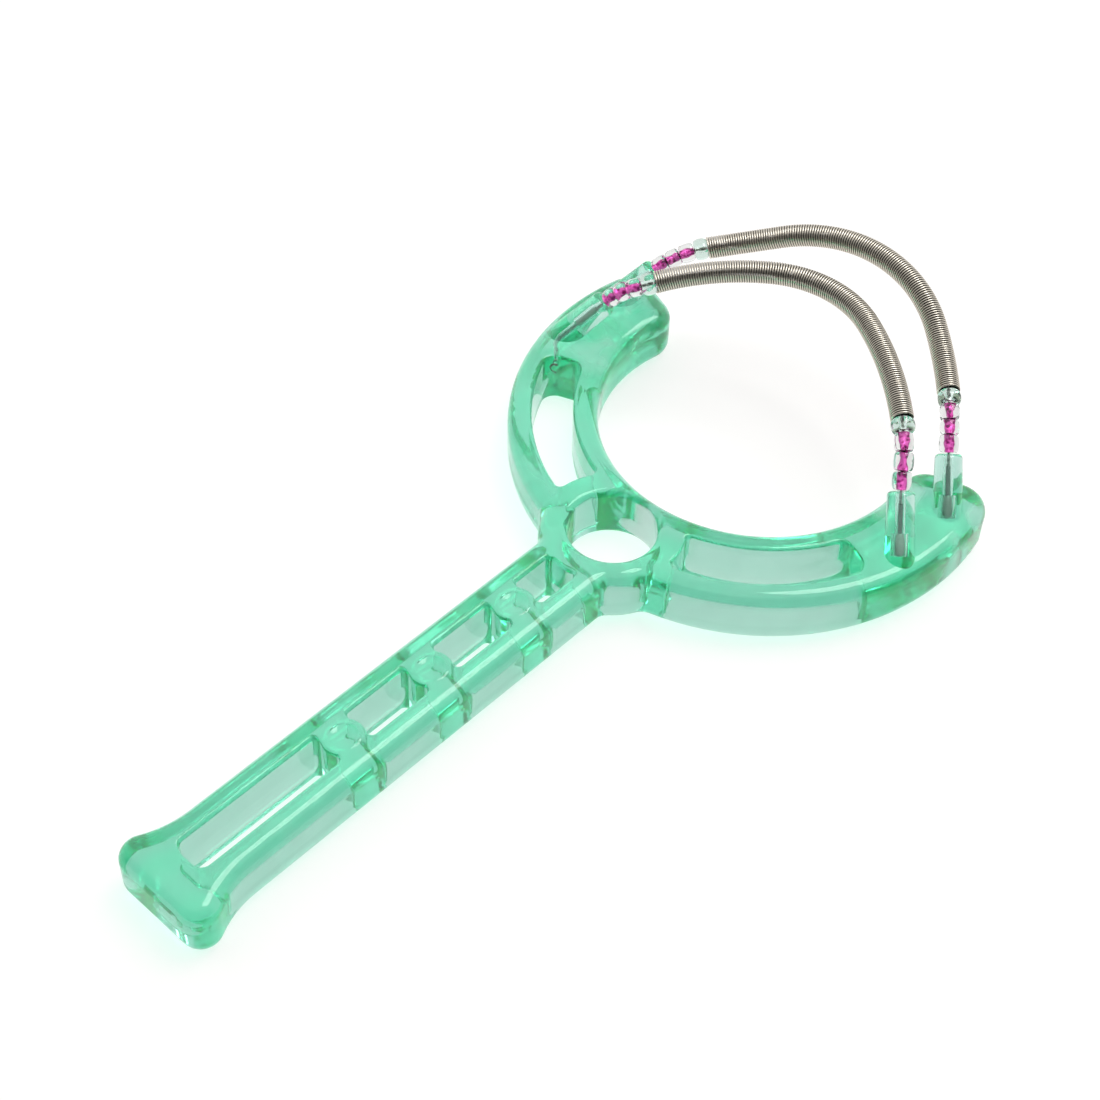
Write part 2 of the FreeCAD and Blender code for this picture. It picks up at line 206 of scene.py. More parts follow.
def place_on(segment, s):
    """Points and headings at the distances s along one segment."""
    s = np.asarray(s, float)[..., None]
    if segment["radius"] is None:
        return segment["start"] + segment["heading"] * s, segment["heading"] + 0 * s
    r = segment["radius"]
    c, w = np.cos(s / r), np.sin(s / r)
    point = segment["start"] + segment["inward"] * r * (1 - c) + segment["heading"] * r * w
    return point, segment["heading"] * c + segment["inward"] * w


def two_bends(start, heading, end, end_heading, blend):
    """Two tangent arcs between two placed headings; blend is the ratio of their tangent lengths."""
    t1, t2 = unit(heading), unit(end_heading)
    v = end - start
    a = 2 * blend * (t1 @ t2 - 1)
    b = -2 * (v @ (t1 * blend + t2))
    d2 = (-b - math.sqrt(b * b - 4 * a * (v @ v))) / (2 * a)
    d1 = blend * d2
    corner_1, corner_2 = start + t1 * d1, end - t2 * d2
    meeting = corner_1 + (corner_2 - corner_1) * (d1 / (d1 + d2))
    first = bend_to(start, t1, meeting)
    second = bend_to(meeting, place_on(first, first["length"])[1], end)
    return [first, second]


def route_length(route):
    return sum(segment["length"] for segment in route)


def reversed_route(route):
    out = []
    for segment in reversed(route):
        end, heading = place_on(segment, segment["length"])
        if segment["radius"] is None:
            out.append(straight(end, -heading, segment["length"]))
        else:
            out.append(bend_to(end, -heading, segment["start"]))
    return out


def seed_low(name, side, count):
    """Distance along the wire from the turret's top face to the near end of that seed bead."""
    return sum(SEED_LENGTHS[name][side][:count]) + (count + 1) * BEAD_GAP


def threaded_length(name, side):
    return seed_low(name, side, len(SEED_LENGTHS[name][side])) + END_BEAD_LENGTH + BEAD_GAP


def wire_ends():
    """The wire's name, the side and its word, for each of the four wire ends."""
    return [(name, side, hand) for name in SPANS for side, hand in HANDS.items()]


def turret_head(name, side):
    """The middle of a turret's top face and the turret's direction."""
    return handed(TURRET_HEADS[name], side), unit(handed(TURRET_LEAN, side))


def down_turret(name, side, depth):
    """The place at that depth below a turret's top face, and the turret's direction."""
    head, lean = turret_head(name, side)
    return head - lean * depth, lean


def coil_end(name, side):
    """Coil end and heading on one side of the settled span, slid until the beads just fill the wire below it."""
    span = SPANS[name]
    pivot = np.array((0, span["end"][1], span["end"][2]))
    point = settled(handed(span["end"], side), span, pivot) + (span["shift"], 0, 0)
    heading = unit(settled(handed(span["heading"], side) + pivot, span, pivot) - pivot)
    head, lean = turret_head(name, side)
    for _ in range(12):
        run = two_bends(head, lean, point, heading, span["bead_blend"][side])
        point = point + heading * (threaded_length(name, side) - route_length(run))
    return point, heading


def bead_run(name, side):
    """The wire from a turret's top face to the coil end."""
    head, lean = turret_head(name, side)
    point, heading = coil_end(name, side)
    return two_bends(head, lean, point, heading, SPANS[name]["bead_blend"][side])


def coil_run(name):
    """The route from the right coil end over the crown to the left coil end."""
    span = SPANS[name]
    pivot = np.array((0, span["end"][1], span["end"][2]))
    top = settled(span["crown"], span, pivot) + (span["shift"], 0, 0)
    top_heading = unit(settled(pivot + (-1, 0, 0), span, pivot) - pivot)
    first = two_bends(*coil_end(name, RIGHT), top, top_heading, span["blend"])
    second = two_bends(*coil_end(name, LEFT), top, -top_heading, span["blend"])
    return first + reversed_route(second)


def foot_run(name, side):
    """The wire inside one turret, from the bottom of its stop up to the turret's top face."""
    depth = FERRULE_TOP + FERRULE_LENGTH + 2 * SEAT_GAP + STOP_LENGTH
    return [straight(*down_turret(name, side, depth), depth)]


def wire_run(name):
    """The whole core wire, from the foot on the right to the foot or the loose tail on the left."""
    right = foot_run(name, RIGHT) + bead_run(name, RIGHT)
    left = foot_run(name, LEFT) + bead_run(name, LEFT)
    if name == "near":
        foot = left[0]
        left = two_bends(np.array(TAIL_EXIT), TAIL_HEADING, foot["start"], foot["heading"], 1.0) + left
    return right + coil_run(name) + reversed_route(left)


def along(route, s):
    """Points, headings, side directions carried without twist, and the bend so far, at the distances s."""
    s = np.asarray(s, float)
    points, headings, sides = (np.empty((len(s), 3)) for _ in range(3))
    bends = np.empty(len(s))
    side = unit(np.cross(route[0]["heading"], (0.1, 0.2, 1)))
    begin = bend = 0.0
    for segment in route:
        here = s >= begin - TINY
        local = s[here] - begin
        points[here], headings[here] = place_on(segment, local)
        if segment["radius"] is None:
            sides[here] = side
            bends[here] = bend
        else:
            axis = np.cross(segment["heading"], segment["inward"])
            angle = np.append(local, segment["length"])[:, None] / segment["radius"]
            dot = axis * (axis @ side)
            turned = dot + (side - dot) * np.cos(angle) + np.cross(axis, side) * np.sin(angle)
            sides[here] = turned[:-1]
            bends[here] = bend + angle[:-1, 0]
            side = turned[-1]
            bend += segment["length"] / segment["radius"]
        begin += segment["length"]
    return points, headings, sides, bends


# meshes


def grid_piece(name, grid, closed_rows, materials, slots=None, attributes=None):
    """A mesh from a grid of points (rows, columns, xyz).

    The columns always close into a ring. The rows close too where closed_rows is true, and are capped by a flat
    face at each end where it isn't. slots gives each row band its material, and attributes one number to each
    point. Faces point outwards where the rows run along the ring's axis and the columns turn right-handed about it.
    """
    rows, columns = grid.shape[:2]
    bands = rows if closed_rows else rows - 1
    r, c = np.meshgrid(np.arange(bands), np.arange(columns), indexing="ij")
    r1, c1 = (r + 1) % rows, (c + 1) % columns
    quads = np.stack((r * columns + c, r * columns + c1, r1 * columns + c1, r1 * columns + c), -1).reshape(-1, 4)
    faces = quads.tolist()
    if not closed_rows:
        ring = np.arange(columns)
        faces += [ring[::-1].tolist(), (ring + (rows - 1) * columns).tolist()]
    mesh = bpy.data.meshes.new(name)
    mesh.from_pydata(grid.reshape(-1, 3).tolist(), [], faces)
    for material in materials:
        mesh.materials.append(material)
    if slots is not None:
        indices = np.zeros(len(faces), np.int32)
        indices[: len(quads)] = np.repeat(slots, columns)
        mesh.polygons.foreach_set("material_index", indices)
    smooth = np.ones(len(faces), bool)
    smooth[len(quads) :] = False
    mesh.polygons.foreach_set("use_smooth", smooth)
    for label, values in (attributes or {}).items():
        layer = mesh.attributes.new(label, "FLOAT", "POINT")
        layer.data.foreach_set("value", np.broadcast_to(values, (rows, columns)).ravel().astype(np.float32))
    mesh.validate()
    piece = bpy.data.objects.new(name, mesh)
    bpy.context.scene.collection.objects.link(piece)
    return piece


def wound_wire(route, winding_radius, wire_radius, phase_of, steps, sides, stray=None):
    """The grid of a round wire wound about a route.

    At distance s the wire's middle stands off the route by winding_radius in the direction side cos p + up sin p,
    where p is the phase. Round that middle the section is a circle spanned by the outward direction and by the
    one square to it and to the winding wire. stray gives, for each distance left to the route's end, how far the
    route itself stands off its line there, and at which angle.
    """
    s = np.linspace(0, route_length(route), steps)
    points, headings, side, bends = along(route, s)
    up = np.cross(headings, side)
    if stray:
        amount, turn = (v[:, None] for v in stray(s[-1] - s))
        points = points + (side * np.cos(turn) + up * np.sin(turn)) * amount
    phase = phase_of(s, bends)[:, None]
    out = side * np.cos(phase) + up * np.sin(phase)
    middle = points + out * winding_radius
    run = np.gradient(middle, axis=0)
    run /= np.linalg.norm(run, axis=1, keepdims=True)
    across = np.cross(run, out)
    angle = np.linspace(0, 2 * math.pi, sides, endpoint=False)[None, :, None]
    ring = out[:, None] * np.cos(angle) + across[:, None] * np.sin(angle)
    return middle[:, None] + ring * wire_radius, np.cos(angle[..., 0])


def placed(local, point, heading):
    """Local points with z along the wire, moved to a point of the wire with z along its heading."""
    z = unit(heading)
    x = unit(np.cross(z, (0.3, -0.2, 1)))
    return point + local @ np.array((x, np.cross(z, x), z))


def box_section(hole, outer, length, fullness, steps):
    """The section of a turned piece: at each step the angle a, the share across, the radius and the height.

    It is a rounded box. The share across is sgn(cos a) |cos a|^f, the radius is the middle of the wall plus half
    its width times that share, and the height is half the length times sgn(sin a) |sin a|^f. All are columns.
    """
    a = np.linspace(0, 2 * math.pi, steps, endpoint=False)[:, None]
    across, up = (np.sign(v) * np.abs(v) ** fullness for v in (np.cos(a), np.sin(a)))
    return a, across, (outer + hole) / 2 + (outer - hole) / 2 * across, length / 2 * up


def turning(steps):
    """The turning angles of a turned piece, as a row."""
    return np.linspace(0, 2 * math.pi, steps, endpoint=False)[None, :]


def turned(radius, height, turn):
    """Points at a radius and a height, turned about the z axis."""
    return np.stack((radius * np.cos(turn), radius * np.sin(turn), height + 0 * turn), -1)


def bead_grid(hole, outer, length, fullness, wobble, pinch, seed):
    """The grid of a bead, and which of its rows are painted, which are those in the hole.

    A rounded box section is turned. The outer side swells and shrinks a little with twice and three times the
    turning angle, and the height with the angle itself. The hole narrows by up to the pinch, in soft folds that
    run round it and lean along it.
    """
    a, across, radius, height = box_section(hole, outer, length, fullness, 36)
    turn = turning(48)
    p2, p3 = np.random.default_rng(seed).uniform(0, 2 * math.pi, 2)
    swell = wobble * (0.6 * np.cos(2 * turn + p2) + 0.4 * np.cos(3 * turn + p3) - 1)
    folds = 0.5 + 0.3 * np.sin(2 * turn + p2 + 5 * height / length) + 0.2 * np.sin(9 * height / length + p3)
    inner = np.clip(-1.6 * across, 0, 1)
    radius = radius * (1 + swell * (across > 0)) - hole * pinch * folds * inner
    height = height * (1 + wobble * (np.cos(turn - p3) - 1))
    return turned(radius, height, turn), np.cos(a[:, 0]) < PAINT_EDGE


def sleeve_grid(outer):
    """The grid of a thin sleeve: a box section, turned, made a little oval, with the oval leaning along it."""
    _, _, radius, height = box_section(SLEEVE_BORE, outer, FERRULE_LENGTH, 0.3, 24)
    turn = turning(28)
    dent = 1 - 0.03 * np.sin(2 * turn + 7 * height / FERRULE_LENGTH)
    return turned(radius * dent, height, turn)


def stop_grid():
    """The grid of a stop squeezed by a crimping tool.

    A rounded box section is turned and made narrower towards the top. The outer side loses a little on two
    opposite sides, by cos squared of the turning angle, in two bites along the length.
    """
    _, across, radius, height = box_section(STOP_BORE, STOP_RADIUS, STOP_LENGTH, 0.85, 40)
    turn = turning(36)
    bites = np.cos(height / STOP_LENGTH * 4 * math.pi) ** 2
    egg = 1 - 0.3 * np.clip(height / STOP_LENGTH + 0.1, 0, 1) ** 1.3
    squeeze = egg * (1 - 0.1 * bites * np.cos(turn) ** 2)
    return turned(np.where(across > 0, radius * squeeze, radius), height, turn)


def fit_out(piece, node):
    """The piece stands for a node of the model and rides on its body."""
    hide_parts(node)
    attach(piece, BODY)


# shading


class Value:
    """One output of a shader node. Arithmetic on it adds the Math nodes."""

    def __init__(self, sheet, socket):
        self.sheet = sheet
        self.socket = socket

    def joined(self, operation, first, second):
        return self.sheet.add("ShaderNodeMath", {"operation": operation}, {0: first, 1: second})

    def __add__(self, other):
        return self.joined("ADD", self, other)

    def __radd__(self, other):
        return self.joined("ADD", other, self)

    def __sub__(self, other):
        return self.joined("SUBTRACT", self, other)

    def __rsub__(self, other):
        return self.joined("SUBTRACT", other, self)

    def __mul__(self, other):
        return self.joined("MULTIPLY", self, other)

    def __rmul__(self, other):
        return self.joined("MULTIPLY", other, self)

    def __truediv__(self, other):
        return self.joined("DIVIDE", self, other)

    def __pow__(self, other):
        return self.joined("POWER", self, other)


class Sheet:
    """The node tree of one material or of the world."""

    def __init__(self, owner, output):
        owner.use_nodes = True
        self.owner = owner
        self.tree = owner.node_tree
        self.tree.nodes.clear()
        self.out = self.tree.nodes.new(output)

    def add(self, kind, settings=None, inputs=None, output=0):
        """Adds a node, sets its settings, then gives its sockets values or links, and returns one output."""
        node = self.tree.nodes.new(kind)
        for name, value in (settings or {}).items():
            if name == "stops":
                ramp = node.color_ramp.elements
                while len(ramp) < len(value):
                    ramp.new(0.5)
                for stop, (position, shade) in zip(ramp, value):
                    stop.position = position
                    stop.color = shade
            else:
                setattr(node, name, value)
        for name, value in (inputs or {}).items():
            if isinstance(value, Value):
                self.tree.links.new(value.socket, node.inputs[name])
            else:
                node.inputs[name].default_value = value
        return Value(self, node.outputs[output])

    def connect(self, value, name):
        self.tree.links.new(value.socket, self.out.inputs[name])

    def place(self):
        """Object coordinates, in metres."""
        return self.add("ShaderNodeTexCoord", output="Object")

    def parts(self, place):
        """The x, y and z of a place."""
        node = self.add("ShaderNodeSeparateXYZ", None, {0: place}).socket.node
        return [Value(self, socket) for socket in node.outputs]

    def ray(self, kind):
        """1 for rays of one kind and 0 for all others."""
        return self.add("ShaderNodeLightPath", output=kind)

    def noise(self, place, size, detail=2.0, distortion=0.0):
        """Soft cloudy values about 0.5, with features about size metres across."""
        inputs = {"Vector": place, "Scale": 1 / size, "Detail": detail, "Distortion": distortion}
        return self.add("ShaderNodeTexNoise", None, inputs)

    def ramp(self, value, stops):
        return self.add("ShaderNodeValToRGB", {"stops": stops}, {0: value})

    def mixed(self, factor, first, second):
        """A colour between two colours."""
        return self.add("ShaderNodeMix", {"data_type": "RGBA"}, {0: factor, 6: first, 7: second}, output=2)

    def soft_step(self, value, low, high):
        """0 below low and 1 above high, with a soft slope between, or the other way round where low is the higher."""
        if low > high:
            return 1 - self.soft_step(value, high, low)
        ends = {0: value, 1: low, 2: high, 3: 0.0, 4: 1.0}
        return self.add("ShaderNodeMapRange", {"interpolation_type": "SMOOTHSTEP"}, ends)

    def bump(self, height, distance, strength=1.0):
        """A normal from a height of 0 to 1 that stands for distance metres."""
        inputs = {"Height": height, "Distance": distance, "Strength": strength}
        return self.add("ShaderNodeBump", None, inputs)

    def principled(self, inputs):
        return self.add("ShaderNodeBsdfPrincipled", None, inputs)

    def blend(self, factor, first, second):
        """A surface between two surfaces."""
        return self.add("ShaderNodeMixShader", None, {0: factor, 1: first, 2: second})

    def clear_skin(self, base, roughness, normal):
        """The skin of a clear body."""
        return self.principled(
            {"Base Color": base, "Roughness": roughness, "IOR": CLEAR_IOR, "Transmission Weight": 1.0, "Normal": normal}
        )

    def lets_lamps_through(self, skin, left):
        """A clear skin that rays from the lamps cross, with what its two faces and the tint leave of them."""
        clear = self.add("ShaderNodeBsdfTransparent", None, {"Color": colour(left)})
        return self.blend(self.ray("Is Shadow Ray"), skin, clear)

    def tint_inside(self, tint, density):
        """Tints the inside, so that long paths go dense."""
        inside = self.add("ShaderNodeVolumeAbsorption", None, {"Color": colour(tint), "Density": density})
        self.connect(inside, "Volume")


def material_sheet(name):
    return Sheet(bpy.data.materials.new(name), "ShaderNodeOutputMaterial")


def colour(rgb):
    return (*rgb, 1.0)


def dimple_rims(sheet, x, y, z):
    """A soft rim round each dimple of the top face: 0 to 1 to 0 with the distance from its centre."""
    rims = 0.0
    for centre in DIMPLES:
        reach = (x * x + (y - centre) * (y - centre)) ** 0.5 / DIMPLE_RADIUS
        rims = rims + sheet.soft_step(reach, 0.85, 1.05) * sheet.soft_step(reach, 1.3, 1.05)
    return rims * sheet.soft_step(z, TOP_FACE - 0.001, TOP_FACE - 0.0003)


def clear_green_plastic(look):
    """Clear tinted moulding with faint flow ripples.

    The skin is a little hazy all over, more in soft clouds, and most in the clouds of the arms' tips. The turret
    heads, which stand above the arms, have no clouds and are a little milky.
    """
    sheet = material_sheet("clear_green_plastic")
    place = sheet.place()
    x, y, z = sheet.parts(place)
    flow = sheet.noise(place, 0.02, detail=1.0, distortion=0.5)
    fine = sheet.noise(place, 0.0022, detail=3.0)
    dust = sheet.noise(place, 0.0004)
    heads = sheet.soft_step(z, look.milk_from, look.milk_from + 0.004)
    arms = sheet.mixed(flow, colour(look.skin_dull), colour(look.skin))
    ripple = flow * 0.97 + fine * 0.03 + dimple_rims(sheet, x, y, z) * 0.5
    glass = sheet.clear_skin(
        sheet.mixed(heads, arms, colour((1, 1, 1))),
        look.roughness + (fine - 0.45) * 0.05 + dust ** 6 * 0.4,
        sheet.bump(ripple, look.ripple),
    )
    pale = sheet.mixed(flow, colour(look.haze), colour(look.haze_pale))
    haze = sheet.principled({"Base Color": pale, "Roughness": 0.35, "IOR": CLEAR_IOR})
    tips = sheet.soft_step(y, TIPS_BEGIN, TIPS_FULL) * look.tip_clouds
    clouds = sheet.soft_step(sheet.noise(place, 0.008, detail=1.0, distortion=0.4), 0.48, 0.7)
    haziness = heads * look.milk + clouds * (tips + look.clouds) * (1 - heads) + look.least_haze
    skin = sheet.blend(haziness, glass, haze)
    sheet.connect(sheet.lets_lamps_through(skin, (0.96, 0.93, 0.93)), "Surface")
    sheet.tint_inside(look.tint, look.density)
    return sheet.owner


def bead_glass(look, name, pale, tint, density):
    """Clear polished glass with a drawn, slightly uneven skin, and a little tint inside."""
    sheet = material_sheet(name)
    drawn = sheet.noise(sheet.place(), 0.0012, detail=1.0)
    glass = sheet.clear_skin(
        sheet.mixed(drawn, colour(pale), colour((0.99, 0.995, 0.99))),
        0.01 + drawn * look.glass_roughness,
        sheet.bump(drawn, 0.00008),
    )
    sheet.connect(sheet.lets_lamps_through(glass, (0.95, 0.95, 0.95)), "Surface")
    sheet.tint_inside(tint, density)
    return sheet.owner


def magenta_lining(look):
    """Crinkled metallic paint in a bead's hole: deep magenta painted shade in the creases, pink painted highlights."""
    sheet = material_sheet("magenta_lining")
    place = sheet.place()
    patch = sheet.noise(place, 0.0009, detail=3.0, distortion=0.6)
    cell = sheet.add("ShaderNodeTexVoronoi", None, {"Vector": place, "Scale": 1 / 0.0006, "Randomness": 1.0})
    crinkle = patch * 0.7 + cell * 0.5
    # painted shade at the crinkle's low end and a painted highlight at its high end
    stops = [(0.40, colour(look.lining_painted_shade)), (0.53, colour(look.lining)), (0.64, colour(look.lining_painted_highlight))]
    paint = sheet.principled(
        {
            "Base Color": sheet.ramp(crinkle, stops),
            "Metallic": 0.45,
            "Roughness": 0.18 + patch * 0.3,
            "Normal": sheet.bump(crinkle, 0.00025),
        }
    )
    sheet.connect(paint, "Surface")
    return sheet.owner


def drawn_steel(name, bright, dull, roughness, grain, groove=False):
    """Drawn or crimped steel: fine mottling, a few duller patches, and painted shade in the grooves between turns."""
    sheet = material_sheet(name)
    place = sheet.place()
    patch = sheet.noise(place, grain * 6)
    fine = sheet.noise(place, grain, detail=4.0)
    base = sheet.mixed(patch * 0.6 + fine * 0.4, colour(dull), colour(bright))
    if groove:
        outside = sheet.add("ShaderNodeAttribute", {"attribute_name": "outside"}, output="Fac")
        # painted shade: where the wire turns away from the outside, down into the grooves between turns, its colour
        # falls to a share of the dull steel
        base = sheet.mixed(sheet.soft_step(outside, 0.4, 0.95), colour([c * GROOVE_SHADE for c in dull]), base)
    metal = sheet.principled(
        {
            "Base Color": base,
            "Metallic": 1.0,
            "Roughness": roughness + (fine - 0.5) * 0.2,
            "Normal": sheet.bump(fine, grain * 0.01),
        }
    )
    sheet.connect(metal, "Surface")
    return sheet.owner


def floor_paper(look):
    """White paper sweep: it catches the shadow, and is lifted to white for what sees it straight or through glass."""
    sheet = material_sheet("floor_paper")
    grain = sheet.noise(sheet.place(), 0.0015, detail=3.0)
    base = sheet.mixed(grain, colour(look.paper), colour(look.paper_light))
    paper = sheet.principled({"Base Color": base, "Roughness": 0.9, "Specular IOR Level": 0.1})
    through = sheet.ray("Is Transmission Ray")
    seen = sheet.add("ShaderNodeClamp", None, {0: sheet.ray("Is Camera Ray") + sheet.ray("Is Glossy Ray") + through})
    level = look.white_level - through * (look.white_level - look.floor_in_glass)
    white = sheet.add("ShaderNodeEmission", None, {"Color": colour((1, 1, 1)), "Strength": level})
    sheet.connect(sheet.blend(seen * look.whiteness, paper, white), "Surface")
    return sheet.owner


def studio_world(look, open_side):
    """A white tent, open and dark on the side that the photograph was taken from, which bare metal mirrors.

    The opening is an ellipse about open_side, with a soft edge. A ray through it is found by the squared sine of
    its angle from the middle, the share to the side being narrowed.
    """
    sheet = Sheet(bpy.data.worlds.new("studio"), "ShaderNodeOutputWorld")
    way = sheet.add("ShaderNodeTexCoord", output="Generated")
    across = unit(np.cross((0, 0, 1), open_side))
    ahead, aside, above = (
        sheet.add("ShaderNodeVectorMath", {"operation": "DOT_PRODUCT"}, {0: way, 1: tuple(axis)}, output="Value")
        for axis in (open_side, across, np.cross(open_side, across))
    )
    from_middle = above * above + aside * aside * look.dark_narrowing ** 2
    inner, outer = (math.sin(look.dark_angle + d) ** 2 for d in (-OPEN_SIDE_BLUR, OPEN_SIDE_BLUR))
    dark = sheet.soft_step(from_middle, outer, inner) * sheet.soft_step(ahead, 0.0, 0.4)
    through = sheet.ray("Is Transmission Ray")
    bright = look.tent_level + through * (look.tent_in_glass - look.tent_level)
    dim = look.dark_level + through * (look.dark_in_glass - look.dark_level)
    level = bright + dark * (dim - bright)
    tent = sheet.add("ShaderNodeBackground", None, {"Color": colour((1, 1, 1)), "Strength": level})
    white = sheet.add("ShaderNodeBackground", None, {"Color": colour((1, 1, 1)), "Strength": 1.0})
    sheet.connect(sheet.blend(sheet.ray("Is Camera Ray"), tent, white), "Surface")
    return sheet.owner


# sizes and colours that a user would change


class PlasticLook(PropertyGroup):
    tint: FloatVectorProperty(
        name="Tint", description="Colour left in the plastic after a long path", subtype="COLOR", size=3,
        default=(0.0, 0.935, 0.70), min=0, max=1,
    )
    density: FloatProperty(name="Density", description="Strength of the tint per metre", default=94.0, min=0)
    skin: FloatVectorProperty(
        name="Skin", description="Light that each surface lets through", subtype="COLOR", size=3,
        default=(0.83, 0.84, 0.835), min=0, max=1,
    )
    skin_dull: FloatVectorProperty(
        name="Dull skin", description="The same where the skin is duller", subtype="COLOR", size=3,
        default=(0.72, 0.75, 0.74), min=0, max=1,
    )
    haze: FloatVectorProperty(
        name="Haze", description="Colour of the hazy skin", subtype="COLOR", size=3,
        default=(0.45, 0.86, 0.70), min=0, max=1,
    )
    haze_pale: FloatVectorProperty(
        name="Pale haze", description="The same where it is palest", subtype="COLOR", size=3,
        default=(0.80, 0.93, 0.92), min=0, max=1,
    )
    least_haze: FloatProperty(name="Least haze", description="Haze everywhere", default=0.07, min=0, max=1)
    clouds: FloatProperty(name="Clouds", description="Haze added in soft clouds", default=0.05, min=0, max=1)
    tip_clouds: FloatProperty(
        name="Clouds in the tips", description="Haze added in soft clouds at the arms' tips", default=0.3, min=0, max=1
    )
    milk: FloatProperty(name="Milk", description="Haze added on the turret heads", default=0.02, min=0, max=1)
    milk_from: FloatProperty(
        name="Milk from", description="Height at which the milkiness begins", default=TOP_FACE, unit="LENGTH",
        precision=4,
    )
    roughness: FloatProperty(name="Roughness", description="Gloss of the moulded skin", default=0.06, min=0, max=1)
    ripple: FloatProperty(
        name="Ripple", description="Height of the flow ripples", default=0.00025, unit="LENGTH", precision=5
    )


class CoilLook(PropertyGroup):
    wire: FloatProperty(
        name="Wire", description="Diameter of the spring wire", default=COIL_WIRE, unit="LENGTH", precision=5
    )
    sides: IntProperty(name="Sides", description="Faces round the spring wire", default=10, min=6, max=12)
    steps: IntProperty(name="Steps", description="Faces along each turn", default=26, min=16, max=48)
    steel: FloatVectorProperty(
        name="Steel", description="Colour of bright wire", subtype="COLOR", size=3, default=(0.82, 0.765, 0.67)
    )
    dull: FloatVectorProperty(
        name="Dull steel", description="Colour of tarnished wire", subtype="COLOR", size=3, default=(0.60, 0.55, 0.46)
    )
    roughness: FloatProperty(name="Roughness", description="Roughness of the wire", default=0.33, min=0, max=1)


class CoreLook(PropertyGroup):
    lay: FloatProperty(
        name="Lay", description="Length in which the two strands turn once", default=0.0016, unit="LENGTH", precision=5
    )
    steel: FloatVectorProperty(
        name="Steel", description="Colour of the strands", subtype="COLOR", size=3, default=(0.38, 0.38, 0.34)
    )


class SeatLook(PropertyGroup):
    stop: FloatVectorProperty(
        name="Stops", description="Colour of the crimped stops", subtype="COLOR", size=3, default=(0.50, 0.60, 0.50)
    )
    stop_dull: FloatVectorProperty(
        name="Dull stops", description="The same where dull", subtype="COLOR", size=3, default=(0.10, 0.13, 0.10)
    )
    right: FloatVectorProperty(
        name="Right sleeves", description="Colour of the right sleeves", subtype="COLOR", size=3,
        default=(0.13, 0.13, 0.11),
    )
    right_dull: FloatVectorProperty(
        name="Dull right sleeves", description="The same where dull", subtype="COLOR", size=3,
        default=(0.05, 0.05, 0.045),
    )
    left: FloatVectorProperty(
        name="Left sleeves", description="Colour of the left sleeves", subtype="COLOR", size=3,
        default=(0.42, 0.42, 0.38),
    )
    left_dull: FloatVectorProperty(
        name="Dull left sleeves", description="The same where dull", subtype="COLOR", size=3,
        default=(0.18, 0.18, 0.16),
    )


class BeadLook(PropertyGroup):
    fullness: FloatProperty(
        name="Fullness", description="1 is round in section, less is more boxy", default=0.72, min=0.4, max=1
    )
    end_fullness: FloatProperty(
        name="End beads' fullness", description="The same for the end beads", default=0.85, min=0.4, max=1
    )
    wobble: FloatProperty(name="Wobble", description="Unevenness of the beads", default=0.03, min=0, max=0.1)
    pinch: FloatProperty(name="Pinch", description="How far the painted holes narrow", default=0.42, min=0, max=0.45)
    glass_roughness: FloatProperty(name="Roughness", description="Roughness of the glass", default=0.03, min=0)
    lining: FloatVectorProperty(
        name="Lining", description="Paint in the seed beads", subtype="COLOR", size=3, default=(0.46, 0.015, 0.24)
    )
    # painted shade in the creases of the lining
    lining_painted_shade: FloatVectorProperty(
        name="Lining creases", description="Paint in shade", subtype="COLOR", size=3, default=(0.10, 0.004, 0.06)
    )
    # painted highlight on the lining's glints
    lining_painted_highlight: FloatVectorProperty(
        name="Lining glints", description="Paint in light", subtype="COLOR", size=3, default=(0.80, 0.12, 0.52)
    )
    seed_skin: FloatVectorProperty(
        name="Seed bead skin", description="Light that a seed bead's surface lets through", subtype="COLOR", size=3,
        default=(0.95, 0.95, 0.96),
    )
    seed_tint: FloatVectorProperty(
        name="Seed bead tint", description="Colour left in a seed bead after a long path", subtype="COLOR", size=3,
        default=(0.6, 0.75, 0.68),
    )
    seed_density: FloatProperty(
        name="Seed bead density", description="Strength of its tint per metre", default=30.0, min=0
    )
    end_skin: FloatVectorProperty(
        name="End bead skin", description="Light that an end bead's surface lets through", subtype="COLOR", size=3,
        default=(0.90, 0.96, 0.94),
    )
    end_tint: FloatVectorProperty(
        name="End bead tint", description="Colour left in an end bead after a long path", subtype="COLOR", size=3,
        default=(0.25, 0.72, 0.55),
    )
    end_density: FloatProperty(
        name="End bead density", description="Strength of its tint per metre", default=90.0, min=0
    )


class StudioLook(PropertyGroup):
    paper: FloatVectorProperty(
        name="Paper", description="Colour of the floor", subtype="COLOR", size=3, default=(0.80, 0.775, 0.76)
    )
    paper_light: FloatVectorProperty(
        name="Light paper", description="The same in its light grain", subtype="COLOR", size=3,
        default=(0.83, 0.805, 0.79),
    )
    whiteness: FloatProperty(
        name="Whiteness", description="How far the seen floor is lifted to white", default=0.35, min=0.1, max=1
    )
    white_level: FloatProperty(name="White", description="Level of the white it is lifted to", default=1.6, min=0)
    floor_in_glass: FloatProperty(
        name="White in glass", description="The same where it is seen through glass", default=1.08, min=0
    )
    tent_in_glass: FloatProperty(name="Tent in glass", description="The tent seen through glass", default=1.0, min=0)
    dark_in_glass: FloatProperty(
        name="Open side in glass", description="The tent's open side seen through glass", default=0.85, min=0
    )
    tent_level: FloatProperty(name="Tent", description="Level of the white tent", default=0.85, min=0)
    dark_level: FloatProperty(name="Open side", description="Level of the tent's open side", default=0.03, min=0)
    dark_angle: FloatProperty(
        name="Opening", description="Half height of the open side", default=math.radians(38), subtype="ANGLE"
    )
    dark_narrowing: FloatProperty(
        name="Opening's shape", description="Height of the open side for its width", default=0.4, min=0.1, max=1
    )
    key: FloatProperty(name="Key light", description="Power of the large lamp", default=5.6, min=0, unit="POWER")


